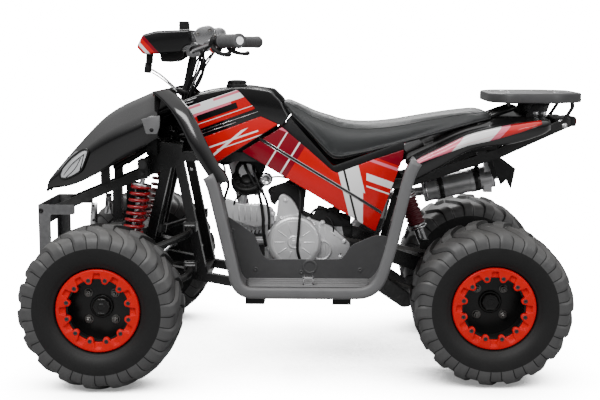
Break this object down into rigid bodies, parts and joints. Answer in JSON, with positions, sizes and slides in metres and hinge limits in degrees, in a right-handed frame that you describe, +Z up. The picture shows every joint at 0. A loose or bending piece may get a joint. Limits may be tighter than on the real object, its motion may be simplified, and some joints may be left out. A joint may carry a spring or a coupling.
{
  "type": "quad bike",
  "caption": "Sports quad bike with an open tube frame, steered lugged front wheels, a chain-driven rear axle, footwells, saddle, rear rack and front bumper.",
  "frame": {"origin": "on the floor under the middle of the overall length and width", "axes": "+X forward, +Y to the vehicle's left, +Z up"},
  "size_m": [1.677, 1.002, 1.057],
  "materials": {
    "frame_black": "satin black paint",
    "damper_grey": "grey paint",
    "spring_red": "gloss red paint",
    "chain_steel": "oiled steel",
    "engine_silver": "silver paint",
    "exhaust_silver": "satin steel",
    "body_grey": "moulded grey plastic",
    "black_plastic": "black plastic",
    "saddle_vinyl": "charcoal vinyl",
    "gloss_black": "gloss black",
    "body_red": "gloss red",
    "lamp_clear": "clear lens",
    "lamp_red": "red lens",
    "rack_grey": "grey powder coat",
    "bar_silver": "satin steel",
    "grip_rubber": "grey rubber",
    "tyre": "black tyre rubber",
    "rim_black": "black paint",
    "ring_red": "gloss red paint"
  },
  "bodies": {
    "chassis": {"frame": "frame_black", "suspension_arms": "frame_black", "dampers": "damper_grey", "springs": "spring_red", "swingarm": "frame_black", "chain": "chain_steel", "crankcase": "engine_silver", "cylinder": "engine_silver", "carburettor": "engine_silver", "exhaust": "exhaust_silver", "footwell_left": "body_grey", "footwell_right": "body_grey", "footpegs": "black_plastic", "saddle": "saddle_vinyl", "rear_fender": "gloss_black", "tank_cover": "gloss_black", "fuel_tank": "black_plastic", "shrouds": "body_red", "side_panels": "body_red", "front_fender": "gloss_black", "headlamps": "lamp_clear", "tail_bracket": "black_plastic", "rack": "rack_grey", "rack_stays": "frame_black", "tail_lamp": "lamp_red", "bumper": "rack_grey"},
    "steering": {"steering_column": "frame_black", "handlebar": "bar_silver", "grips": "grip_rubber", "controls": "black_plastic", "cables": "black_plastic", "handlebar_pad": "black_plastic"},
    "knuckle_l": {"knuckle_left": "frame_black"},
    "knuckle_r": {"knuckle_right": "frame_black"},
    "tie_l": {"tie_rod_left": "bar_silver"},
    "tie_r": {"tie_rod_right": "bar_silver"},
    "wheel_fl": {"tyre_front_left": "tyre", "rim_front_left": "rim_black", "ring_front_left": "ring_red"},
    "wheel_fr": {"tyre_front_right": "tyre", "rim_front_right": "rim_black", "ring_front_right": "ring_red"},
    "axle": {"rear_axle": "bar_silver", "sprocket": "bar_silver", "brake_disc": "bar_silver", "tyres_rear": "tyre", "rims_rear": "rim_black", "rings_rear": "ring_red"}
  },
  "joints": [
    {"name": "steer", "type": "hinge", "parent": "chassis", "child": "steering", "pos_m": [0.3915, 0, 0.818], "axis": [-0.2079, 0, 0.9781], "range_deg": [-35, 35]},
    {"name": "knuckle_turn_left", "type": "hinge", "parent": "chassis", "child": "knuckle_l", "pos_m": [0.5825, 0.295, 0.236], "axis": [-0.0872, 0, 0.9962], "range_deg": [-28, 28]},
    {"name": "knuckle_turn_right", "type": "hinge", "parent": "chassis", "child": "knuckle_r", "pos_m": [0.5825, -0.295, 0.236], "axis": [-0.0872, 0, 0.9962], "range_deg": [-28, 28]},
    {"name": "tie_swing_left", "type": "hinge", "parent": "steering", "child": "tie_l", "pos_m": [0.43301, 0.014, 0.35336], "axis": [-0.2079, 0, 0.9781], "range_deg": [-36, 36]},
    {"name": "tie_swing_right", "type": "hinge", "parent": "steering", "child": "tie_r", "pos_m": [0.43301, -0.014, 0.35336], "axis": [-0.2079, 0, 0.9781], "range_deg": [-36, 36]},
    {"name": "roll_front_left", "type": "hinge", "parent": "knuckle_l", "child": "wheel_fl", "pos_m": [0.5825, 0.412, 0.236], "axis": [0, 1, 0], "continuous": true},
    {"name": "roll_front_right", "type": "hinge", "parent": "knuckle_r", "child": "wheel_fr", "pos_m": [0.5825, -0.412, 0.236], "axis": [0, 1, 0], "continuous": true},
    {"name": "roll_rear", "type": "hinge", "parent": "chassis", "child": "axle", "pos_m": [-0.5445, 0, 0.232], "axis": [0, 1, 0], "continuous": true}
  ],
  "couplings": [
    {"joint": "knuckle_turn_left", "follows": "steer", "ratio": 0.8},
    {"joint": "knuckle_turn_right", "follows": "steer", "ratio": 0.8},
    {"joint": "tie_swing_left", "follows": "steer", "ratio": -1.028},
    {"joint": "tie_swing_right", "follows": "steer", "ratio": -1.028}
  ]
}
